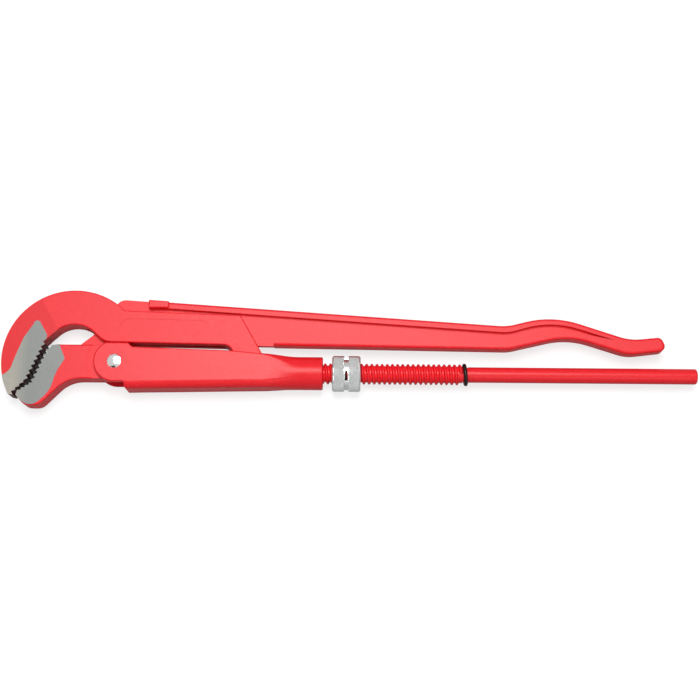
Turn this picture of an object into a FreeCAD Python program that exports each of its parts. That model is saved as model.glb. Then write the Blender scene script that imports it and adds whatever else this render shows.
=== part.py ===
import FreeCAD, Part
import math
import os

# Swedish-pattern pipe wrench, 2 inch size, lying on its side. Millimetres.
# Drawn about the pivot: origin on the pivot axis, +X along the bar to the handle ends,
# +Y towards the hook's back. Drawn about its mid-plane, then raised to lie on z = 0.

V = FreeCAD.Vector
X_AXIS, Y_AXIS, Z_AXIS = V(1, 0, 0), V(0, 1, 0), V(0, 0, 1)

# --- Driving dimensions -------------------------------------------------------------
# sleeve, the pivoted channel that carries the bar
SLEEVE_HALF = 14.0          # half its width, so also the height of the mid-plane
LUG_R = 16.0                # round end about the rivet
LUG_TOP = 14.4
FLOOR_START = 8.0           # where the channel's floor begins
FLOOR_FRONT_Y = -21.8       # underside of the floor at its front
FLOOR_WALL = 3.4
CHANNEL_END = 117.0
TUBE_START = 142.0          # from here on the sleeve is a round tube
TUBE_END = 160.2
TUBE_R = 12.8
SLEEVE_CORNER = 6.0         # long lower corners

# bar axis, thread and nut
BAR_Y = -6.4                # the bar's axis below the pivot
BAR_R = 6.0
BAR_END = 450.0
PITCH = 4.0
THREAD_R = 8.2
THREAD_DEPTH = 1.8
THREAD_FLANK = 0.59         # flank slope, axial over radial
THREAD_SINK = 0.3           # how far a ridge is rooted in its core
THREAD_START = 121.0
THREAD_END = 268.0
THREAD_GAP = 0.3            # between the nut's thread and the bar's
BORE_GAP = 0.45             # between the thread and the tube's bore
NUT_START = 167.5
NUT_LENGTH = 21.8
NUT_R = 13.6
NUT_CHAMFER = 0.8
NUT_GROOVE = 3.4
NUT_GROOVE_DEPTH = 2.0
NUT_WINDOW_DEG = 39.0       # each of the four slots through the groove's floor
NUT_WINDOW_AT = -16.0       # first slot's middle, below the +Z side
BAND_THICK = 0.9
BAND_SIDE_GAP = 0.15

# stop ring in its groove behind the thread
RING_WIRE_R = 1.5
RING_GAP = 0.1
RING_LEAN = 5.0

# pivot rivet
RIVET_R = 4.6
RIVET_HEAD_R = 5.5
RIVET_HEAD_DEPTH = 2.0
RIVET_DOME = 0.7
RIVET_FIT = 0.05            # running clearance in the jaw leg
RIVET_SEAT = 0.02           # clearance in the sleeve's lugs

# hook jaw
HOOK_HALF = 10.0
HOOK_LOW_HALF = 9.4         # the lower step towards the tip
PAD_HALF = 10.2             # the ground faces beside the teeth
SLOT_LEFT = -24.0
SLOT_FLOOR = 14.0
HOOK_CENTRE = (-32.0, 0.5)
HOOK_R = 55.5
NECK_LEFT = 91.0            # the stem that goes down into the channel
NECK_RIGHT = 114.0
NECK_LOW_Y = -14.0
SPIGOT_R = 5.0              # the bar's end inside the stem
SPIGOT_LENGTH = 17.0
SPIGOT_GAP = 0.02
PIN_R = 2.0
PIN_X = NECK_RIGHT - SPIGOT_LENGTH / 2

# jaw leg
JAW_HALF = 9.8
JAW_NECK_HALF = 9.4
JAW_STEP_R = 21.4
JAW_NECK_R = 13.3
WEB_HALF = 3.0
WEB_LOW = 15.7              # lower edge of the web behind the pivot, above the slot's floor
WEB_LOW_END = 12.5          # and at the handle's bend
FLANGE_START = 122.2        # where the lower flange begins
FLANGE_HALF = 7.5
FLANGE_THICK = 5.0
BOSS_LEFT, BOSS_RIGHT = 24.6, 40.5
BOSS_HALF = 9.6
LEG_TOP_LEFT = (2.2, 50.3)      # the top flange's outer face, at its two ends
LEG_TOP_RIGHT = (300.0, 31.2)

SIDE_GAP = 0.35             # between moving flat sides
SLOT_HALF = WEB_HALF + SIDE_GAP
CHANNEL_HALF = HOOK_HALF + SIDE_GAP

# teeth: rows are straight runs of equal teeth
TOOTH_DEPTH = 2.3
TIP_TOOTH_DEPTH = 1.3       # where the jaws nearly meet
TOOTH_LEAN = 0.3            # where along its pitch a tooth has its tip


# --- Drawing helpers ----------------------------------------------------------------
def outline(*steps):
    """Closed flat face. (x, y) is a corner, (x, y, r) a corner rounded by r, and
    (xm, ym, x, y) a corner that is reached by an arc through (xm, ym)."""
    corners = [V(*(step[:2] if len(step) == 3 else step[-2:]), 0) for step in steps]
    rounds = []
    for i, step in enumerate(steps):
        corner, before, after = corners[i], corners[i - 1], corners[(i + 1) % len(steps)]
        if len(step) != 3:
            rounds.append((corner, None, corner))
            continue
        back, ahead = (before - corner).normalize(), (after - corner).normalize()
        half = back.getAngle(ahead) / 2
        run, rise = step[2] / math.tan(half), step[2] / math.sin(half) - step[2]
        rounds.append((corner + back * run, corner + (back + ahead).normalize() * rise,
                       corner + ahead * run))
    edges = []
    for i, (enter, middle, leave) in enumerate(rounds):
        here = rounds[i - 1][2]
        if len(steps[i]) == 4:
            edges.append(Part.Arc(here, V(*steps[i][:2], 0), enter).toShape())
        elif here.distanceToPoint(enter) > 1e-6:
            edges.append(Part.makeLine(here, enter))
        if middle:
            edges.append(Part.Arc(enter, middle, leave).toShape())
    return Part.Face(Part.Wire(edges))


def slab(face, half, low=None):
    """The face extruded from low (or -half) to +half in Z."""
    low = -half if low is None else low
    return face.translated(V(0, 0, low)).extrude(V(0, 0, half - low))


def both_sides(shape):
    """The shape and its mirror image in the mid-plane."""
    return shape.fuse(shape.mirror(V(0, 0, 0), Z_AXIS))


def rod(radius, start, end):
    """Cylinder about the bar's axis."""
    return Part.makeCylinder(radius, end - start, V(start, BAR_Y, 0), X_AXIS)


def pin(radius, x, y, half):
    """Cylinder along Z through (x, y)."""
    return Part.makeCylinder(radius, 2 * half, V(x, y, -half), Z_AXIS)


def sharp_edges(shape, keep):
    """Edges that keep(edge) accepts and where two faces meet at an angle."""
    found = []
    for edge in shape.Edges:
        if not keep(edge):
            continue
        faces = shape.ancestorsOfType(edge, Part.Face)
        if len(faces) != 2:
            continue
        middle = edge.valueAt((edge.FirstParameter + edge.LastParameter) / 2)
        normals = [face.normalAt(*face.Surface.parameter(middle)) for face in faces]
        if abs(normals[0].dot(normals[1])) < 0.95:
            found.append(edge)
    return found


def soften(shape, radius, keep):
    """Fillet the sharp edges that keep(edge) accepts."""
    return shape.makeFillet(radius, sharp_edges(shape, keep))


def long_rim(z):
    """Test for the longer edges at |Z| = z, which leaves out the teeth."""
    level = at_height(z)
    return lambda edge: level(edge) and edge.Length > 5


def at_height(z):
    """Test for edges that lie flat at |Z| = z."""
    return lambda edge: edge.BoundBox.ZLength < 1e-3 and abs(abs(edge.CenterOfMass.z) - z) < 1e-4


def tooth_row(start, end, count, depth):
    """Points along a row: root, tip, root ... with tips on the left of the way."""
    way = V(*end, 0) - V(*start, 0)
    left = V(-way.y, way.x, 0).normalize() * depth
    points = []
    for i in range(count):
        root = V(*start, 0) + way * (i / count)
        tip = V(*start, 0) + way * ((i + TOOTH_LEAN) / count) + left
        points += [(root.x, root.y), (tip.x, tip.y)]
    return points


def helical_ridge(base, crest, start, length):
    """Right-hand ridge about the bar's axis. base and crest are (radius, half width)."""
    helix = Part.makeHelix(PITCH, length, base[0])
    low, high = V(base[0], 0, -base[1]), V(base[0], 0, base[1])
    low_crest, high_crest = V(crest[0], 0, -crest[1]), V(crest[0], 0, crest[1])
    rise = (crest[0] - base[0]) * 0.16
    top = Part.Arc(low_crest, V(crest[0] + rise, 0, 0), high_crest).toShape()
    profile = Part.Wire([Part.makeLine(low, low_crest), top, Part.makeLine(high_crest, high),
                         Part.makeLine(high, low)])
    ridge = Part.Wire(helix).makePipeShell([profile], True, True)
    ridge.rotate(V(0, 0, 0), Y_AXIS, 90)
    ridge.translate(V(start, BAR_Y, 0))
    return ridge


# --- Sleeve -------------------------------------------------------------------------
def section(x, half, low, high, corner_low, corner_high, roundness=0.0):
    """Rounded rectangle across the bar, as eight edges, blended towards the round tube."""
    box, tube = [], []
    for quarter, (y_sign, z_sign) in enumerate([(1, 1), (1, -1), (-1, -1), (-1, 1)]):
        corner = corner_high if y_sign > 0 else corner_low
        y_mid = (high if y_sign > 0 else low) - y_sign * corner
        z_mid = z_sign * (half - corner)
        turns = (0, 45, 90) if quarter % 2 == 0 else (90, 45, 0)
        for turn in turns:
            angle = math.radians(turn)
            box.append(V(x, y_mid + y_sign * corner * math.sin(angle),
                         z_mid + z_sign * corner * math.cos(angle)))
            angle = math.radians(20 + turn * 50 / 90)
            tube.append(V(x, BAR_Y + y_sign * TUBE_R * math.sin(angle),
                          z_sign * TUBE_R * math.cos(angle)))
    points = [a + (b - a) * roundness for a, b in zip(box, tube)]
    edges = []
    for quarter in range(4):
        first, middle, last = points[3 * quarter:3 * quarter + 3]
        following = points[(3 * quarter + 3) % 12]
        edges.append(Part.Arc(first, middle, last).toShape())
        between = (last + following) / 2
        outward = V(0, between.y - BAR_Y, between.z).normalize()
        bulge = TUBE_R * (1 - math.cos(math.radians(20))) * roundness
        edges.append(Part.Arc(last, between + outward * bulge, following).toShape()
                     if roundness else Part.makeLine(last, following))
    return Part.Wire(edges)


def make_sleeve():
    tube_low = BAR_Y - TUBE_R
    blend_start = CHANNEL_END - 5
    top_front, top_rear = 11.2, 7.0
    corner = 0.8
    front = Part.Face(section(-LUG_R - 2, SLEEVE_HALF, FLOOR_FRONT_Y, LUG_TOP + 4,
                              SLEEVE_CORNER, corner))
    front = front.extrude(V(blend_start + LUG_R + 2, tube_low - FLOOR_FRONT_Y, 0))
    lug_start = math.sqrt(LUG_R ** 2 - LUG_TOP ** 2)
    side = outline(
        (-lug_start, LUG_TOP), (-LUG_R, 0, 0, -LUG_R), (FLOOR_START - 1, -LUG_R),
        (FLOOR_START, -LUG_R - 1), (FLOOR_START, FLOOR_FRONT_Y + 3.5),
        (FLOOR_START + 1, FLOOR_FRONT_Y + 1, FLOOR_START + 3.5, FLOOR_FRONT_Y - 0.5),
        (TUBE_START, FLOOR_FRONT_Y - 0.5), (TUBE_START, top_rear), (blend_start, top_rear),
        (90, top_rear + 1.9), (13.6, top_front), (10.4, LUG_TOP))
    body = front.common(soften(slab(side, SLEEVE_HALF), 1.1, at_height(SLEEVE_HALF)))

    stations = 7
    blend = []
    for i in range(stations):
        t = i / (stations - 1)
        blend.append(section(blend_start + (TUBE_START - blend_start) * t, SLEEVE_HALF, tube_low,
                             top_rear, SLEEVE_CORNER, 1.2, t * t * (3 - 2 * t)))
    body = body.fuse(Part.makeLoft(blend, True, False))
    tube = rod(TUBE_R, TUBE_START, TUBE_END)
    end_edges = [e for e in tube.Edges if abs(e.BoundBox.XMin - TUBE_END) < 1e-3 and e.Closed]
    body = body.fuse(tube.makeFillet(1.0, end_edges))

    slope = (tube_low - FLOOR_FRONT_Y) / (blend_start + LUG_R + 2)
    floor_front = FLOOR_FRONT_Y + FLOOR_WALL
    channel = slab(outline(
        (-LUG_R - 5, floor_front), (CHANNEL_END, floor_front + slope * (CHANNEL_END + LUG_R)),
        (CHANNEL_END, top_rear - 4.5), (NECK_RIGHT + 1.2, top_rear - 1), (NECK_RIGHT + 0.6, 40),
        (-LUG_R - 5, 40)), CHANNEL_HALF)
    body = body.cut(channel)
    body = body.cut(rod(THREAD_R + BORE_GAP, CHANNEL_END - 2, TUBE_END + 2))
    seat = pin(RIVET_R + RIVET_SEAT, 0, 0, SLEEVE_HALF + 1)
    for side_z in (1, -1):
        seat = seat.fuse(rivet_head(side_z, RIVET_SEAT, 2.0))
    return body.cut(seat).removeSplitter()


# --- Pivot rivet --------------------------------------------------------------------
def rivet_head(side_z, gap, above):
    """Countersunk head: a cone and a short rim, with `above` of rim past the cone."""
    cone_top = SLEEVE_HALF - RIVET_DOME
    cone_low = cone_top - RIVET_HEAD_DEPTH
    cone = Part.makeCone(RIVET_R + gap, RIVET_HEAD_R + gap, RIVET_HEAD_DEPTH,
                         V(0, 0, side_z * cone_low), Z_AXIS * side_z)
    if not above:
        return cone
    rim = Part.makeCylinder(RIVET_HEAD_R + gap, above, V(0, 0, side_z * cone_top),
                            Z_AXIS * side_z)
    return cone.fuse(rim)


def make_rivet():
    body = pin(RIVET_R, 0, 0, SLEEVE_HALF - RIVET_DOME - RIVET_HEAD_DEPTH)
    ball_r = (RIVET_HEAD_R ** 2 + RIVET_DOME ** 2) / (2 * RIVET_DOME)
    for side_z in (1, -1):
        ball = Part.makeSphere(ball_r, V(0, 0, side_z * (SLEEVE_HALF - ball_r)))
        dome = Part.makeCylinder(RIVET_HEAD_R + 1, RIVET_DOME + 1,
                                 V(0, 0, side_z * (SLEEVE_HALF - RIVET_DOME)), Z_AXIS * side_z)
        body = body.fuse([rivet_head(side_z, 0, 0), ball.common(dome)])
    return body.removeSplitter()


def half_width(radius):
    """Half the bar thread's width at a radius, on its straight flanks."""
    return PITCH * 0.42 - THREAD_FLANK * (radius - (THREAD_R - THREAD_DEPTH - THREAD_SINK))


# --- Threaded bar, its pin and the stop ring ----------------------------------------
RING_X = THREAD_END + 2.3
RING_SEAT_R = BAR_R - 0.3


def make_bar():
    core = THREAD_R - THREAD_DEPTH
    body = rod(SPIGOT_R, NECK_RIGHT - SPIGOT_LENGTH, NECK_RIGHT + 1)
    body = body.fuse([
        rod(core, NECK_RIGHT + 0.3, THREAD_END + 0.3),
        rod(RING_SEAT_R, THREAD_END, RING_X + 4),
        rod(BAR_R, RING_X + 2.6, BAR_END)])
    ends = [e for e in body.Edges if abs(e.BoundBox.XMin - BAR_END) < 1e-3 and e.Closed]
    body = body.makeFillet(2.0, ends)
    body = body.cut(pin(PIN_R + 0.02, PIN_X, BAR_Y, SPIGOT_R + 1))
    ridge = helical_ridge((core - THREAD_SINK, half_width(core - THREAD_SINK)),
                          (THREAD_R - 0.35, half_width(THREAD_R - 0.35)),
                          THREAD_START, THREAD_END - PITCH / 4 - THREAD_START)
    return body.fuse(ridge)


def make_bar_pin():
    return pin(PIN_R, PIN_X, BAR_Y, HOOK_HALF - 0.4)


def make_stop_ring():
    ring = Part.makeTorus(RING_SEAT_R + RING_GAP + RING_WIRE_R, RING_WIRE_R,
                          V(RING_X, BAR_Y, 0), X_AXIS)
    ring.rotate(V(RING_X, BAR_Y, 0), Z_AXIS, RING_LEAN)
    return ring


# --- Adjusting nut and its spring band ----------------------------------------------
NUT_MIDDLE = NUT_START + NUT_LENGTH / 2
GROOVE_FLOOR = NUT_R - NUT_GROOVE_DEPTH


def arc_sector(inner, outer, width, start_deg, sweep_deg):
    """Part of a ring about the bar at the nut's middle. Angles rise from +Z towards +Y."""
    ring = rod(outer, NUT_MIDDLE - width / 2, NUT_MIDDLE + width / 2).cut(
        rod(inner, NUT_MIDDLE - width, NUT_MIDDLE + width))
    far = outer * 3
    wedge = Part.Face(Part.makePolygon([V(0, 0, 0)] + [
        V(0, far * math.sin(math.radians(a)), far * math.cos(math.radians(a)))
        for a in [start_deg + sweep_deg * i / 4 for i in range(5)]] + [V(0, 0, 0)]))
    wedge.translate(V(NUT_MIDDLE - width, BAR_Y, 0))
    return ring.common(wedge.extrude(V(2 * width, 0, 0)))


def make_nut():
    nut_end = NUT_START + NUT_LENGTH
    body = rod(NUT_R, NUT_START, nut_end)
    body = body.makeChamfer(NUT_CHAMFER, [edge for edge in body.Edges if edge.Closed])
    groove = rod(NUT_R + 1, NUT_MIDDLE - NUT_GROOVE / 2, NUT_MIDDLE + NUT_GROOVE / 2).cut(
        rod(GROOVE_FLOOR, NUT_START, nut_end))
    bore, minor = THREAD_R + THREAD_GAP, THREAD_R - THREAD_DEPTH + THREAD_GAP
    body = body.cut([groove, rod(bore, NUT_START - 1, nut_end + 1)])
    for quarter in range(4):
        middle = NUT_WINDOW_AT + 90 * quarter
        body = body.cut(arc_sector(bore - 1, GROOVE_FLOOR + 1, NUT_GROOVE - 1.2,
                                   middle - NUT_WINDOW_DEG / 2, NUT_WINDOW_DEG))
    turns_before = math.ceil((NUT_START - THREAD_START) / PITCH)
    start = THREAD_START + (turns_before + 0.5) * PITCH
    gap = THREAD_GAP * 1.2
    ridge = helical_ridge(
        (bore + THREAD_SINK, PITCH / 2 - half_width(bore + THREAD_SINK) - gap),
        (minor + 0.3, PITCH / 2 - half_width(minor + 0.3) - gap), start,
        nut_end - PITCH / 2 - start)
    return body.fuse(ridge)


def make_nut_band():
    """Open spring band that lies in the groove, round the back of the nut."""
    start = NUT_WINDOW_AT + 90 + NUT_WINDOW_DEG / 2 + 2
    end = NUT_WINDOW_AT + 360 - NUT_WINDOW_DEG / 2 - 2
    return arc_sector(GROOVE_FLOOR + 0.05, GROOVE_FLOOR + 0.05 + BAND_THICK,
                      NUT_GROOVE - 2 * BAND_SIDE_GAP, start, end - start)


# --- Hook jaw -----------------------------------------------------------------------
HOOK_TEETH = [((-55.6, 15.3), (-69.4, -15.0), 8, TOOTH_DEPTH),
              ((-69.4, -15.0), (-78.4, -23.6), 3, TIP_TOOTH_DEPTH)]
JAW_TEETH = [((-74.2, -24.4), (-62.2, -16.8), 4, TIP_TOOTH_DEPTH),
             ((-62.2, -16.8), (-50.0, 10.5), 7, TOOTH_DEPTH)]


def on_hook(angle_deg, radius=HOOK_R):
    """Point on a circle about the hook's centre."""
    angle = math.radians(angle_deg)
    return (HOOK_CENTRE[0] + radius * math.cos(angle), HOOK_CENTRE[1] + radius * math.sin(angle))


def hook_face():
    """Side view of the hook, its plate and its stem."""
    low_front, low_rear = JAW_NECK_R + 2.2, JAW_NECK_R + 0.7
    teeth = [point for row in HOOK_TEETH for point in tooth_row(*row)]
    return outline(
        *teeth, HOOK_TEETH[-1][1], (-77.2, -26.4), (-81.0, -25.8), on_hook(204.5),
        (*on_hook(125), *on_hook(46)), (96.3, 37.3, 3), (NECK_RIGHT, 6.2),
        (NECK_RIGHT, NECK_LOW_Y, 2), (NECK_LEFT, NECK_LOW_Y, 4), (NECK_LEFT, low_rear, 8),
        (-8.5, low_front, 14), (-31.8, 36.6, 22))


def above_plane(face, z):
    """Everything further than z from the mid-plane, over a face."""
    return both_sides(slab(face, 30, z))


def make_hook():
    side = hook_face()
    shape = soften(slab(side, HOOK_HALF), 1.0, long_rim(HOOK_HALF))
    low_step = outline((-200, -60), (-32.0, 4.3), (-60.5, 52.0), (-64, 80), (-200, 80))
    shape = shape.cut(above_plane(low_step, HOOK_LOW_HALF))
    ground = outline((-53.2, 16.2), (-52.6, 20.6), (-57.8, 29.4), (-60.3, 31.8, -63.4, 29.2),
                     (-70.5, 18.7), (-75.1, 7.4), (-78.4, -1.6), (-81.4, -7.8, -88, -11.6),
                     (-95, -40), (-60, -40), (-40, 10))
    shape = shape.fuse(slab(side.common(ground), PAD_HALF))
    slot = outline((SLOT_LEFT, 0), (NECK_LEFT - 12, 0), (NECK_LEFT - 12, SLOT_FLOOR),
                   (NECK_RIGHT + 30, SLOT_FLOOR), (NECK_RIGHT + 30, 80), (SLOT_LEFT, 80))
    panel = outline((10.4, 19.9), (65.3, 19.2), (72.3, 26.1, 65.3, 33.0), (10.4, 33.9),
                    (3.4, 27.0, 10.4, 19.9))
    shape = shape.cut([slab(slot, SLOT_HALF), above_plane(panel, HOOK_HALF - 0.4)])
    shape = shape.cut(rod(SPIGOT_R + SPIGOT_GAP, NECK_RIGHT - SPIGOT_LENGTH - 0.4, NECK_RIGHT + 1))
    return shape.cut(pin(PIN_R + SPIGOT_GAP, PIN_X, BAR_Y, HOOK_HALF + 1)).removeSplitter()


# --- Jaw leg ------------------------------------------------------------------------
def jaw_face():
    """Side view of the lower jaw and its neck round the pivot."""
    teeth = [point for row in JAW_TEETH for point in tooth_row(*row)]
    r = JAW_NECK_R
    return outline(
        *teeth, JAW_TEETH[-1][1], (-48.6, 12.6), (-43.2, r), (r, r, r), (r, -r, r),
        (-36, -r, 25), (-57.0, -34.2, 9), (-68.6, -34.2, 8), (-75.0, -26.2))


def leg_face():
    """Side view of the web and handle."""
    top = lambda x: LEG_TOP_LEFT[1] + (x - LEG_TOP_LEFT[0]) * (
        (LEG_TOP_RIGHT[1] - LEG_TOP_LEFT[1]) / (LEG_TOP_RIGHT[0] - LEG_TOP_LEFT[0]))
    return top, outline(
        (-27.3, 10), (-27.3, 14.8), (-18.1, 21.9, 15), (*LEG_TOP_LEFT, 8), (303, 31.0, 40),
        (338, 40.2, 75), (398, 20.9, 40), (422, 23.4, 4.5), (427, 12.9, 4.5), (396, 9.2, 30),
        (350.5, 23.4, 60), (304, WEB_LOW_END, 30), (8, WEB_LOW), (8, 2))


def make_jaw_leg():
    top, side = leg_face()
    leg = soften(slab(side, FLANGE_HALF), 2.0, at_height(FLANGE_HALF))
    under = lambda x: top(x) - FLANGE_THICK
    pocket = outline(
        (-60, -20), (-60, 70), (BOSS_LEFT, 70), (BOSS_LEFT, under(BOSS_LEFT)),
        (303.5, under(303.5), 30), (338, 35.6, 70), (386, 20.6), (350.5, 27.4, 50),
        (303.5, WEB_LOW_END + 4, 25), (FLANGE_START, WEB_LOW + 3.4, 2.4), (FLANGE_START, -20))
    leg = leg.cut(above_plane(pocket, WEB_HALF))
    face = jaw_face()
    jaw = soften(slab(face, JAW_HALF), 1.2, long_rim(JAW_HALF))
    ring = Part.Face(Part.Wire(Part.makeCircle(JAW_STEP_R)))
    jaw = jaw.cut(above_plane(ring, JAW_NECK_HALF))
    ground = outline((-60, 30), (-42.4, 30), (-42.4, 12.0), (-38.9, 3.4), (-38.6, 1.6, -39.4, 0.2),
                     (-43.6, -6.6), (-46.2, -13.2), (-49.6, -22.6, -56, -29.8),
                     (-63.5, -33.6, -72, -29.2), (-90, -29), (-90, 30))
    pad = slab(face.common(ground), PAD_HALF)
    boss_low = under(BOSS_LEFT) - 1.0
    boss = slab(outline((BOSS_LEFT, boss_low), (BOSS_RIGHT, boss_low + 0.2),
                        (BOSS_RIGHT, top(BOSS_RIGHT) + 0.4), (BOSS_LEFT, top(BOSS_LEFT) + 0.4)),
                BOSS_HALF)
    boss = boss.makeFillet(1.0, boss.Edges)
    shape = leg.fuse([jaw, pad, boss])
    return shape.cut(pin(RIVET_R + RIVET_FIT, 0, 0, 20)).removeSplitter()


# --- Write every piece, raised so the sleeve's lower side lies on z = 0 ---------------
NODES = {
    "jaw_leg": make_jaw_leg, "pivot_rivet": make_rivet, "sleeve": make_sleeve,
    "hook_jaw": make_hook, "threaded_bar": make_bar, "bar_pin": make_bar_pin,
    "stop_ring": make_stop_ring, "adjusting_nut": make_nut, "nut_spring": make_nut_band,
}

if __name__ == "__main__":
    os.makedirs("parts", exist_ok=True)
    for node, make in NODES.items():
        piece = make().translated(V(0, 0, SLEEVE_HALF))
        piece.exportStep(f"parts/{node}.step")
        print(node, "valid" if piece.isValid() else "NOT VALID", round(piece.Volume), "mm3")
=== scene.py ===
# %% [markdown]
# # A red pipe wrench, lying on its side
#
# The wrench has a toothed hook on a threaded bar, a toothed jaw on a long handle, a
# channel-shaped sleeve that swings on a rivet, and a knurled nut that sets the opening.
# Its forged and turned parts are already exact solids, so this lesson keeps them as they
# are. What is left to make is what a machine shop and a paint line add: the powder coat,
# the ground steel beside the teeth, the polished rivet, the rolled knurl of the nut, and
# then a plain white table, soft light and a camera.

# %% Load the wrench and remember its box
import math

import bpy
import numpy as np
from mathutils import Matrix, Vector


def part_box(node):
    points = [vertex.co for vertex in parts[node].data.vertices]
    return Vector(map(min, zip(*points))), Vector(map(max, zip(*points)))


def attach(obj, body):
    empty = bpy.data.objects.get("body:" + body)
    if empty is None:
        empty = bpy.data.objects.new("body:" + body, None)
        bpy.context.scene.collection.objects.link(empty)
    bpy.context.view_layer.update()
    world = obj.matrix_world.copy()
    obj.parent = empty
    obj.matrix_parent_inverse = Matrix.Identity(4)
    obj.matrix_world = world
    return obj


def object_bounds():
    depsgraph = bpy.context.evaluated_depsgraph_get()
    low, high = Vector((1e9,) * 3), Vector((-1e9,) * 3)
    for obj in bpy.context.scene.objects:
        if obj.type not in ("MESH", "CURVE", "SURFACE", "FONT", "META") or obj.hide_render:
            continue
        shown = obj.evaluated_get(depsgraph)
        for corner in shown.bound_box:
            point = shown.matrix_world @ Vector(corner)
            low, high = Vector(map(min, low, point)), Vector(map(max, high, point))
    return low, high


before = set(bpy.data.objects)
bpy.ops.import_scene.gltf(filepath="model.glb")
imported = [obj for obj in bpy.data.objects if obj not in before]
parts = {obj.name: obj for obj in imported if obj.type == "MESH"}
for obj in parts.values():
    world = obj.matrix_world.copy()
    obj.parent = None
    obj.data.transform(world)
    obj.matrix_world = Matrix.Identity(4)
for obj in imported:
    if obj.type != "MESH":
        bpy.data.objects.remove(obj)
cad_low, cad_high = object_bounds()
mm = 0.001
mid_plane = (cad_low.z + cad_high.z) / 2
print("the wrench measures", [round(side / mm, 1) for side in cad_high - cad_low], "mm")

# %% [markdown]
# ## A short way to write node trees
#
# Every material here is a small graph of nodes. Written out one call at a time it would
# hide its own idea, so one helper adds a node, sets its options, and fills its inputs with
# either a number or another node's output. Another helper starts a node group: an effect
# with named inputs and outputs that several materials share, each with its own values.

# %% Helpers for node trees
def put(tree, kind, inputs=None, **options):
    """Add a node. options are its own settings; inputs are values or sockets by name or number."""
    made = tree.nodes.new(kind)
    for name, value in options.items():
        setattr(made, name, value)
    for key, value in (inputs or {}).items():
        if isinstance(value, bpy.types.NodeSocket):
            tree.links.new(value, made.inputs[key])
        else:
            made.inputs[key].default_value = value
    return made


def sum_up(tree, operation, *values):
    """Output of a Math node, such as MULTIPLY of two values."""
    return put(tree, "ShaderNodeMath", dict(enumerate(values)), operation=operation).outputs[0]


def blend_colours(tree, share, first, second):
    """Output of a colour Mix node: first where share is 0, second where it is 1."""
    return put(tree, "ShaderNodeMix", {0: share, 6: first, 7: second},
               data_type="RGBA").outputs[2]


def blend_values(tree, share, first, second):
    """Output of a number Mix node: first where share is 0, second where it is 1."""
    return put(tree, "ShaderNodeMix", {0: share, 2: first, 3: second}).outputs[0]


def remap(tree, value, low, high, new_low=0.0, new_high=1.0):
    """Output of a Map Range node, clamped at both ends."""
    return put(tree, "ShaderNodeMapRange", {0: value, 1: low, 2: high, 3: new_low,
                                            4: new_high}).outputs[0]


def start_group(name, inputs, outputs):
    """New shader node group with float, vector or colour sockets, and its two end nodes."""
    group = bpy.data.node_groups.new(name, "ShaderNodeTree")
    for direction, sockets in (("INPUT", inputs), ("OUTPUT", outputs)):
        for label, kind in sockets.items():
            group.interface.new_socket(label, in_out=direction, socket_type="NodeSocket" + kind)
    return group, group.nodes.new("NodeGroupInput").outputs, group.nodes.new("NodeGroupOutput")


def use_group(tree, group, **inputs):
    """Place a group in a tree. Underscores in the names stand for spaces."""
    return put(tree, "ShaderNodeGroup", {label.replace("_", " "): value for label, value
                                         in inputs.items()}, node_tree=group).outputs


def start_material(name):
    """New material with a Principled BSDF, and the place of each point in metres."""
    material = bpy.data.materials.new(name)
    material.use_nodes = True
    tree = material.node_tree
    shader = tree.nodes["Principled BSDF"]
    return material, tree, shader, put(tree, "ShaderNodeTexCoord").outputs["Object"]


# %% [markdown]
# ## The powder coat
#
# The red is a powder coat: coloured resin dust that is baked until it flows. It never
# flows quite flat. It keeps a fine pebbled skin, like the peel of an orange, about half a
# millimetre across, and over a forging it also follows the slow waves of the metal below.
# The colour shifts a little with the film's thickness.
#
# Both textures could be modelled, but half a millimetre of pebble over half a metre of
# tool would be millions of faces for something that only the light feels. Noise in the
# shader does it, in one group: it gives the height of the skin and two masks, one slow for
# the film's thickness and one fine for its speckle.

# %% Group: the skin of a baked coat
coat_skin, skin_in, skin_out = start_group(
    "baked_coat_skin",
    {"Place": "Vector", "Pebble Size": "Float", "Wave Size": "Float", "Wave Share": "Float"},
    {"Height": "Float", "Film": "Float", "Speckle": "Float"})
pebble_scale = sum_up(coat_skin, "DIVIDE", 1.0, skin_in["Pebble Size"])
wave_scale = sum_up(coat_skin, "DIVIDE", 1.0, skin_in["Wave Size"])
pebbles = put(coat_skin, "ShaderNodeTexNoise",
              {"Vector": skin_in["Place"], "Scale": pebble_scale, "Detail": 2.0,
               "Roughness": 0.55}).outputs["Fac"]
waves = put(coat_skin, "ShaderNodeTexNoise",
            {"Vector": skin_in["Place"], "Scale": wave_scale, "Detail": 3.0,
             "Roughness": 0.5}).outputs["Fac"]
clouds = put(coat_skin, "ShaderNodeTexNoise",
             {"Vector": skin_in["Place"], "Scale": sum_up(coat_skin, "MULTIPLY", wave_scale, 2.3),
              "Detail": 4.0, "Roughness": 0.6, "Distortion": 0.3}).outputs["Fac"]
raised = sum_up(coat_skin, "ADD", pebbles,
                sum_up(coat_skin, "MULTIPLY", waves, skin_in["Wave Share"]))
coat_skin.links.new(raised, skin_out.inputs["Height"])
coat_skin.links.new(remap(coat_skin, clouds, 0.3, 0.7), skin_out.inputs["Film"])
coat_skin.links.new(remap(coat_skin, pebbles, 0.35, 0.65), skin_out.inputs["Speckle"])
print("group", coat_skin.name, "ready")

# %% [markdown]
# ## Ground steel
#
# The faces beside the teeth are ground flat after painting, so bare steel shows there with
# a sharp border. A grinding wheel leaves fine parallel scratches and a dull grey that is
# never even. The scratches are noise squeezed hard along one direction, which is what
# grinding does: long one way, thin the other.

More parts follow.
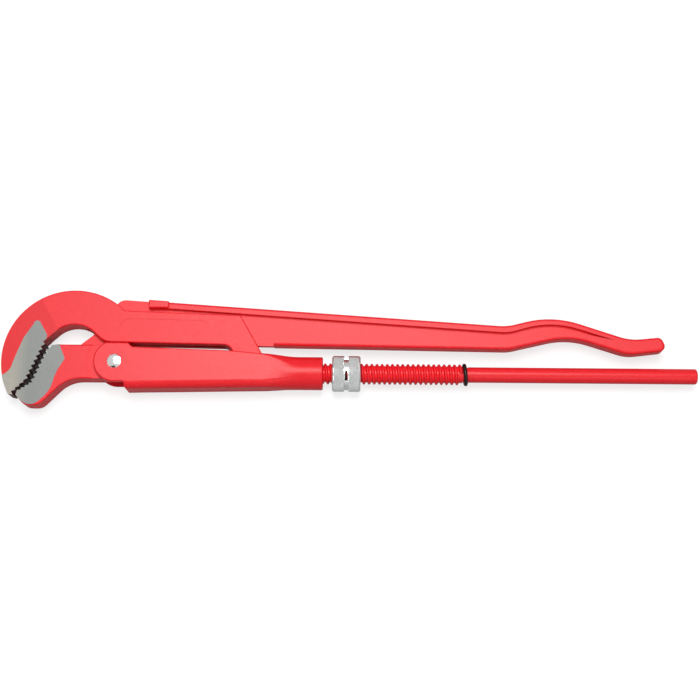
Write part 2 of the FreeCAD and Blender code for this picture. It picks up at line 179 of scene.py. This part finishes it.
# %% Group: marks of a grinding wheel
ground_marks, marks_in, marks_out = start_group(
    "ground_marks",
    {"Place": "Vector", "Turn": "Vector", "Stretch": "Vector"},
    {"Scratches": "Float", "Stain": "Float"})
turned = put(ground_marks, "ShaderNodeMapping",
             {"Vector": marks_in["Place"], "Rotation": marks_in["Turn"],
              "Scale": marks_in["Stretch"]}, vector_type="POINT").outputs[0]
scratches = put(ground_marks, "ShaderNodeTexNoise",
                {"Vector": turned, "Scale": 1.0, "Detail": 5.0, "Roughness": 0.7}).outputs["Fac"]
stain = put(ground_marks, "ShaderNodeTexNoise",
            {"Vector": marks_in["Place"], "Scale": 70.0, "Detail": 4.0,
             "Roughness": 0.6}).outputs["Fac"]
ground_marks.links.new(remap(ground_marks, scratches, 0.25, 0.75), marks_out.inputs["Scratches"])
ground_marks.links.new(remap(ground_marks, stain, 0.3, 0.7), marks_out.inputs["Stain"])
print("group", ground_marks.name, "ready")

# %% [markdown]
# ## One red for four pieces
#
# The jaw, hook, sleeve and bar left the same paint line, so they share one recipe with
# small differences: the jaws have ground faces, the turned bar has a thinner and glossier
# film. On the two jaws the ground faces stand a fifth of a millimetre proud of the painted
# ones. That gives a clean test for where the steel shows: a point is on a ground face when
# it is further from the mid-plane than the paint can be.

# %% Material: red powder coat, with ground steel where the jaws are ground
paint_red = (0.92, 0.010, 0.020, 1.0)
deep_red_film_and_shade = (0.76, 0.004, 0.010, 1.0)
paint_light = (1.0, 0.050, 0.060, 1.0)
tooth_painted_shade = (0.085, 0.002, 0.008, 1.0)
steel_grey = (0.185, 0.19, 0.182, 1.0)
steel_dark = (0.135, 0.14, 0.136, 1.0)
steel_warm = (0.27, 0.25, 0.21, 1.0)
ground_from = 10.1 * mm          # distance from the mid-plane where paint ends
tip_left, tip_right = -79 * mm, -66 * mm
tooth_rows = [((-50.0, 13.0), (-66.6, -17.4)), ((-66.6, -17.4), (-77.0, -26.0))]   # mm
tooth_reach = 5.2 * mm           # how far from a row's middle the tooth sides lie
wave_size, wave_share = 9 * mm, 2.0
bump_strength, bump_high = 0.6, 0.05 * mm
paint_shine = 0.3                # specular level, where 0.5 is a plain plastic
grinding_turn = (0.0, 0.0, 1.1)  # radians, the way the wheel ran
grinding_stretch = (250.0, 6000.0, 900.0)


def near_segment(tree, x, y, start, end, reach):
    """1 where (x, y) lies within reach of the straight line from start to end, else 0.

    The place along the line is the dot product with its direction, kept between its two
    ends; the distance is taken from there.
    """
    start, end = (np.array(point) * mm for point in (start, end))
    length = float(np.linalg.norm(end - start))
    way = (end - start) / length
    dx = sum_up(tree, "SUBTRACT", x, float(start[0]))
    dy = sum_up(tree, "SUBTRACT", y, float(start[1]))
    along = sum_up(tree, "ADD", sum_up(tree, "MULTIPLY", dx, float(way[0])),
                   sum_up(tree, "MULTIPLY", dy, float(way[1])))
    kept = sum_up(tree, "MINIMUM", sum_up(tree, "MAXIMUM", along, 0.0), length)
    off_x = sum_up(tree, "SUBTRACT", dx, sum_up(tree, "MULTIPLY", kept, float(way[0])))
    off_y = sum_up(tree, "SUBTRACT", dy, sum_up(tree, "MULTIPLY", kept, float(way[1])))
    far = sum_up(tree, "SQRT", sum_up(tree, "ADD", sum_up(tree, "POWER", off_x, 2.0),
                                      sum_up(tree, "POWER", off_y, 2.0)))
    return sum_up(tree, "LESS_THAN", far, reach)


def left_of_line(tree, x, y, start, end):
    """1 on the left of the way from start to end: where the cross product is positive."""
    start, end = (np.array(point) * mm for point in (start, end))
    way = end - start
    across = sum_up(tree, "MULTIPLY", sum_up(tree, "SUBTRACT", y, float(start[1])), float(way[0]))
    upward = sum_up(tree, "MULTIPLY", sum_up(tree, "SUBTRACT", x, float(start[0])), float(way[1]))
    return sum_up(tree, "GREATER_THAN", sum_up(tree, "SUBTRACT", across, upward), 0.0)


def red_coat(name, pebble=0.9 * mm, ground=False, roughness=0.40, shaded_side=None):
    """Powder coat material. With ground=True, steel shows past ground_from, and the tooth
    sides are coloured near-black maroon, painted shade between the jaws. Left of the given
    line the red is painted deeper, painted shade where the face tilts away from the light."""
    material, tree, shader, place = start_material(name)
    skin = use_group(tree, coat_skin, Place=place, Pebble_Size=pebble, Wave_Size=wave_size,
                     Wave_Share=wave_share)
    colour = blend_colours(tree, sum_up(tree, "MULTIPLY", skin["Film"], 0.5), paint_red,
                           deep_red_film_and_shade)
    colour = blend_colours(tree, sum_up(tree, "MULTIPLY", skin["Speckle"], 0.35), colour,
                           paint_light)
    gloss = remap(tree, skin["Speckle"], 0.0, 1.0, roughness - 0.05, roughness + 0.06)
    height = put(tree, "ShaderNodeBump", {"Height": skin["Height"],
                                          "Strength": bump_strength, "Distance": bump_high})
    shader.inputs["Specular IOR Level"].default_value = paint_shine
    if ground:
        x, y, z = put(tree, "ShaderNodeSeparateXYZ", {0: place}).outputs
        # Painted shade: left of the step line the red is painted deeper, where the face tilts away
        # from the light.
        if shaded_side:
            colour = blend_colours(tree, sum_up(tree, "MULTIPLY", 0.75, left_of_line(
                tree, x, y, *shaded_side)), colour, deep_red_film_and_shade)
        # Painted shade: near the tooth rows the colour turns near-black maroon, the shade between
        # the jaws.
        for start, end in tooth_rows:
            colour = blend_colours(tree, near_segment(tree, x, y, start, end, tooth_reach),
                                   colour, tooth_painted_shade)
        above = sum_up(tree, "ABSOLUTE", sum_up(tree, "SUBTRACT", z, mid_plane))
        bare = sum_up(tree, "GREATER_THAN", above, ground_from)
        marks = use_group(tree, ground_marks, Place=place, Turn=grinding_turn,
                          Stretch=grinding_stretch)
        steel = blend_colours(tree, marks["Scratches"], steel_dark, steel_grey)
        steel = blend_colours(tree, remap(tree, x, tip_right, tip_left, 0.0, 0.75), steel,
                              steel_warm)
        steel = blend_colours(tree, sum_up(tree, "MULTIPLY", marks["Stain"], 0.25), steel,
                              steel_dark)
        colour = blend_colours(tree, bare, colour, steel)
        gloss = blend_values(tree, bare, gloss,
                             remap(tree, marks["Scratches"], 0.0, 1.0, 0.42, 0.58))
        tree.links.new(sum_up(tree, "MULTIPLY", bare, 0.85), shader.inputs["Metallic"])
    tree.links.new(colour, shader.inputs["Base Color"])
    tree.links.new(gloss, shader.inputs["Roughness"])
    tree.links.new(height.outputs[0], shader.inputs["Normal"])
    return material


def dress(node, material):
    """Give a CAD piece its material, in every slot it has."""
    for slot in parts[node].material_slots:
        slot.material = material


dress("jaw_leg", red_coat("red_coat_jaw", ground=True))
step_line = ((-32.0, 4.3), (-60.5, 52.0))        # mm, where the hook's lower step begins
# Left of the step line the hook's red is painted deeper, as painted shade.
dress("hook_jaw", red_coat("red_coat_hook", ground=True, shaded_side=step_line))
dress("sleeve", red_coat("red_coat_sleeve", roughness=0.36))
dress("threaded_bar", red_coat("red_coat_bar", pebble=1.1 * mm, roughness=0.33))
print("painted", ", ".join(m.name for m in bpy.data.materials if m.name.startswith("red_")))

# %% [markdown]
# ## Bright metals
#
# Five small steel pieces stay unpainted. The rivet head is polished and acts as a curved
# mirror. The nut and its spring band are zinc plated: pale, a little blue, with a satin
# glow. The cross pin is plain, and the stop ring is blued almost to black. Each is a metal
# with the ground-marks group turned down, running round the bar's axis on turned parts.

# %% Material: bright metals
bar_axis_y = (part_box("threaded_bar")[0].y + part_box("threaded_bar")[1].y) / 2
# Painted shade: the colour given to the inside of the nut, close to the bar's axis.
bore_painted_shade = (0.010, 0.006, 0.006, 1)


def bright_metal(name, light, dark, smooth, rough, stretch=(900.0, 900.0, 900.0),
                 stain_share=0.3, painted_shade_within=0.0):
    """Bare metal between two greys, with roughness between smooth and rough. Nearer to the
    bar's axis than the given reach it is painted black, as painted shade inside the bore."""
    material, tree, shader, place = start_material(name)
    marks = use_group(tree, ground_marks, Place=place, Turn=(0.0, 0.0, 0.0), Stretch=stretch)
    colour = blend_colours(tree, marks["Scratches"], dark, light)
    colour = blend_colours(tree, sum_up(tree, "MULTIPLY", marks["Stain"], stain_share),
                           colour, dark)
    # Painted shade: close to the bar's axis, inside the nut, the colour is black.
    if painted_shade_within:
        _, y, z = put(tree, "ShaderNodeSeparateXYZ", {0: place}).outputs
        across = sum_up(tree, "POWER", sum_up(tree, "SUBTRACT", y, bar_axis_y), 2.0)
        upward = sum_up(tree, "POWER", sum_up(tree, "SUBTRACT", z, mid_plane), 2.0)
        from_axis = sum_up(tree, "SQRT", sum_up(tree, "ADD", across, upward))
        colour = blend_colours(tree, sum_up(tree, "LESS_THAN", from_axis, painted_shade_within), colour,
                               bore_painted_shade)
    tree.links.new(colour, shader.inputs["Base Color"])
    tree.links.new(remap(tree, marks["Scratches"], 0.0, 1.0, smooth, rough),
                   shader.inputs["Roughness"])
    shader.inputs["Metallic"].default_value = 1.0
    return material


zinc = bright_metal("zinc_plated_nut", (0.86, 0.88, 0.87, 1), (0.60, 0.62, 0.61, 1), 0.22,
                    0.40, stretch=(3000.0, 300.0, 300.0), painted_shade_within=11.5 * mm)
dress("pivot_rivet", bright_metal("polished_rivet", (0.93, 0.93, 0.92, 1),
                                  (0.80, 0.80, 0.79, 1), 0.06, 0.12, stain_share=0.15))
dress("adjusting_nut", zinc)
dress("nut_spring", bright_metal("spring_band", (0.82, 0.83, 0.82, 1), (0.70, 0.71, 0.70, 1),
                                 0.14, 0.26, stretch=(3000.0, 300.0, 300.0)))
dress("bar_pin", bright_metal("plain_pin", (0.60, 0.60, 0.59, 1), (0.42, 0.42, 0.41, 1), 0.3,
                              0.5))
dress("stop_ring", bright_metal("blued_ring", (0.060, 0.042, 0.042, 1),
                                (0.022, 0.012, 0.012, 1), 0.30, 0.48))

# %% [markdown]
# ## The rolled knurl
#
# The nut is turned by hand, so both its lands carry a diamond knurl. A knurling wheel
# doesn't cut: it presses two families of helical grooves into the blank, one leaning each
# way, and the metal between them rises in small pyramids, slightly proud of the turned
# surface.
#
# A bump texture would look right from the front and then fail along the outline, where the
# nut meets the white table and every tooth should show. So the knurl is real: a thin skin
# round each land, worked out as a grid. One direction of the grid runs round the nut, the
# other along it. With four steps to each diamond, every crest and every valley falls
# exactly on a grid point, so the pyramids stay crisp with few faces.

# %% Diamond knurl as a function of two parameters
nut_low, nut_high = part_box("adjusting_nut")
nut_centre = (nut_low + nut_high) / 2
land_r = 13.6 * mm               # the turned surface, before knurling
chamfer = 0.8 * mm
groove_half = 1.7 * mm           # half the groove between the lands
knurl_high = 0.36 * mm
knurl_lift = 0.02 * mm           # valleys stay just clear of the land
knurl_fade = 0.35 * mm           # the pyramids sink to nothing over this at each end
skin_deep = 0.3 * mm             # how far the skin reaches into the nut
skin_inset = 0.05 * mm           # its inner edge lies this much further in at each end
diamonds_round = 64
steps = 4                        # grid steps to one diamond


def diamond_height(around, along):
    """Pyramids on a diamond lattice: 1 at each middle, 0 along both families of grooves.

    around and along count diamonds. Turned by an eighth, the lattice is a plain square
    grid, so a point's height is one less twice its larger distance from a whole number.
    """
    u, v = around + along, around - along
    far = np.maximum(np.abs(u - np.round(u)), np.abs(v - np.round(v)))
    return 1.0 - 2.0 * far


def closed_mesh(name, points):
    """Mesh from a (rows, columns, 3) grid that closes on itself both ways, facing outwards."""
    rows, columns = points.shape[:2]
    i, j = np.meshgrid(np.arange(rows), np.arange(columns), indexing="ij")
    next_i, next_j = (i + 1) % rows, (j + 1) % columns
    quads = np.stack([i * columns + j, i * columns + next_j, next_i * columns + next_j,
                      next_i * columns + j], axis=-1).reshape(-1, 4)
    flat = points.reshape(-1, 3)
    a, b, c, d = (flat[quads[:, n]] for n in range(4))
    volume = np.einsum("ij,ij->", a, np.cross(b, c) + np.cross(c, d)) / 6
    if volume < 0:
        quads = quads[:, ::-1]
    mesh = bpy.data.meshes.new(name)
    mesh.from_pydata(flat.tolist(), [], quads.tolist())
    mesh.update()
    made = bpy.data.objects.new(name, mesh)
    bpy.context.scene.collection.objects.link(made)
    print(name, len(quads), "faces,", round(abs(volume) / mm ** 3), "cubic mm")
    return made


# %% Two knurled lands round the nut
def knurled_land(name, start, end):
    """Skin round the nut from start to end along the bar, knurled outside, plain inside."""
    diamond = 2 * math.pi * land_r / diamonds_round
    rows = int(round((end - start) / diamond * steps)) + 1
    along = np.linspace(start, end, rows)
    turns = np.arange(diamonds_round * steps) / (diamonds_round * steps)
    counts = (along - start) / diamond
    height = diamond_height(turns[None, :] * diamonds_round, counts[:, None])
    fade = np.clip(np.minimum(along - start, end - along) / knurl_fade, 0, 1)[:, None]
    radius = land_r + knurl_lift + (knurl_high - knurl_lift) * height * fade
    inside = np.full((1, turns.size), land_r - skin_deep)
    radius = np.vstack([inside, radius, inside])
    along = np.concatenate([[start + skin_inset], along, [end - skin_inset]])
    angle = 2 * math.pi * turns[None, :]
    points = np.stack([np.broadcast_to(along[:, None], radius.shape),
                       nut_centre.y + radius * np.sin(angle),
                       nut_centre.z + radius * np.cos(angle)], axis=-1)
    land = closed_mesh(name, points)
    land.data.materials.append(zinc)
    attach(land, "nut_body")


knurled_land("knurled_land_front", nut_low.x + chamfer, nut_centre.x - groove_half)
knurled_land("knurled_land_rear", nut_centre.x + groove_half, nut_high.x - chamfer)

# %% [markdown]
# ## Table and light
#
# A plain white table lies under the wrench, touching the flat side of the sleeve. It is
# white for the eye because it glows faintly towards the camera and in reflections only, so
# it throws no extra light on the tool and still shows the tool's shadow.
#
# The light is one wide soft lamp overhead, a weaker one over the front, and an even grey
# sky. Their levels add up to about one on a face that looks straight up, where a colour
# comes out about as it was written. The sky is kept low, so that edges and side faces turn
# darker than the flats and show their rounding.
#
# A polished dome needs something dark to mirror, or it reads as a white dot. In a studio
# that is the camera itself, so a dark camera with its clamp hangs where one would be.

# %% Table
def seen_not_felt(tree, mirror_share):
    """1 for camera and glass rays, mirror_share for mirror rays, 0 for those that light."""
    path = put(tree, "ShaderNodeLightPath").outputs
    mirrored = sum_up(tree, "MULTIPLY", path["Is Glossy Ray"], mirror_share)
    seen = sum_up(tree, "MAXIMUM", path["Is Camera Ray"], mirrored)
    return sum_up(tree, "MAXIMUM", seen, path["Is Transmission Ray"])


table_grey, table_glow, table_mirror_share = 0.36, 0.74, 0.2
table_white, table_tree, table_shader, _ = start_material("white_table")
table_shader.inputs["Base Color"].default_value = (table_grey, table_grey, table_grey, 1)
table_shader.inputs["Roughness"].default_value = 0.9
table_shader.inputs["Specular IOR Level"].default_value = 0.0
table_shader.inputs["Emission Color"].default_value = (1, 1, 1, 1)
table_tree.links.new(sum_up(table_tree, "MULTIPLY",
                            seen_not_felt(table_tree, table_mirror_share), table_glow),
                     table_shader.inputs["Emission Strength"])
table_size = 6.0
corners = [(x * table_size, y * table_size, cad_low.z) for x, y in
           ((-1, -1), (1, -1), (1, 1), (-1, 1))]
table_mesh = bpy.data.meshes.new("table")
table_mesh.from_pydata(corners, [], [(0, 1, 2, 3)])
table = bpy.data.objects.new("table", table_mesh)
table.data.materials.append(table_white)
bpy.context.scene.collection.objects.link(table)

# %% Sky
sky = bpy.data.worlds.new("even_sky")
bpy.context.scene.world = sky
sky.use_nodes = True
sky_level, sky_mirror_share = 0.22, 0.6
sky_strength = sum_up(sky.node_tree, "ADD", sky_level,
                      sum_up(sky.node_tree, "MULTIPLY",
                             seen_not_felt(sky.node_tree, sky_mirror_share), 1 - sky_level))
sky.node_tree.nodes["Background"].inputs["Color"].default_value = (1, 1, 1, 1)
sky.node_tree.links.new(sky_strength, sky.node_tree.nodes["Background"].inputs["Strength"])


# %% Lamps
def soft_lamp(name, place, aim, size, level):
    """Square area lamp. level is how bright it alone makes a white card that faces it."""
    lamp = bpy.data.lights.new(name, "AREA")
    lamp.size = size
    distance = (Vector(aim) - Vector(place)).length
    lamp.energy = level * math.pi ** 2 * distance ** 2
    made = bpy.data.objects.new(name, lamp)
    made.location = place
    made.rotation_euler = (Vector(aim) - Vector(place)).to_track_quat("-Z", "Y").to_euler()
    bpy.context.scene.collection.objects.link(made)


middle = (cad_low + cad_high) / 2
soft_lamp("key_overhead", (0.15, 0.50, 2.1), (0.15, 0, 0), 0.9, 0.74)
soft_lamp("fill_over_the_front", (middle.x + 0.7, -1.4, 1.9), middle, 1.2, 0.12)


# %% A dark camera for the metal to mirror
def dark_card(name, outline, centre):
    """Flat black shape facing down. outline gives its corners in metres about its centre."""
    flat = np.array(outline, float)
    points = np.column_stack([flat, np.zeros(len(flat))]) + np.array(centre)
    mesh = bpy.data.meshes.new(name)
    mesh.from_pydata(points.tolist(), [], [list(range(len(flat)))])
    made = bpy.data.objects.new(name, mesh)
    made.data.materials.append(card_black)
    bpy.context.scene.collection.objects.link(made)


card_centre = (-0.23, -0.33, 1.5)
arm_centre = (-0.23, -0.33, 1.52)
card_black, _, card_shader, _ = start_material("card_black")
card_shader.inputs["Base Color"].default_value = (0.012, 0.012, 0.012, 1)
card_shader.inputs["Roughness"].default_value = 0.9
card_shader.inputs["Specular IOR Level"].default_value = 0.0
dark_card("camera_body", [(-0.20, -0.14), (-0.06, -0.19), (0.03, -0.12), (0.20, -0.17),
                          (0.19, 0.01), (0.09, 0.04), (0.06, 0.12), (-0.05, 0.10),
                          (-0.08, 0.03), (-0.19, 0.05)], card_centre)
dark_card("clamp_arm", [(-0.36, -0.05), (-0.12, -0.03), (-0.12, 0.01), (-0.36, 0.04)],
          arm_centre)

# %% [markdown]
# ## Camera
#
# The camera looks almost straight down, tipped eleven degrees towards the handles' near
# side, so that the flats fill the picture and the edges that face the viewer show as thin
# bands. It is turned by half a degree about its own axis, which makes the bar fall slightly
# to the right.

# %% Camera
aim = Vector((181.1 * mm, 12.55 * mm, mid_plane))
distance, elevation, roll = 1.2, math.radians(79), math.radians(0.48)
lens, sensor = 79.4, 36.0        # mm
camera_data = bpy.data.cameras.new("camera")
camera_data.lens, camera_data.sensor_width = lens, sensor
camera_data.clip_start, camera_data.clip_end = 0.01, 50.0
camera = bpy.data.objects.new("camera", camera_data)
back = Vector((0, -math.cos(elevation), math.sin(elevation)))
turn = (-back).to_track_quat("-Z", "Y").to_matrix() @ Matrix.Rotation(roll, 3, "Z")
camera.matrix_world = Matrix.Translation(aim + back * distance) @ turn.to_4x4()
bpy.context.scene.collection.objects.link(camera)
bpy.context.scene.camera = camera
bpy.context.scene.view_settings.view_transform = "Standard"
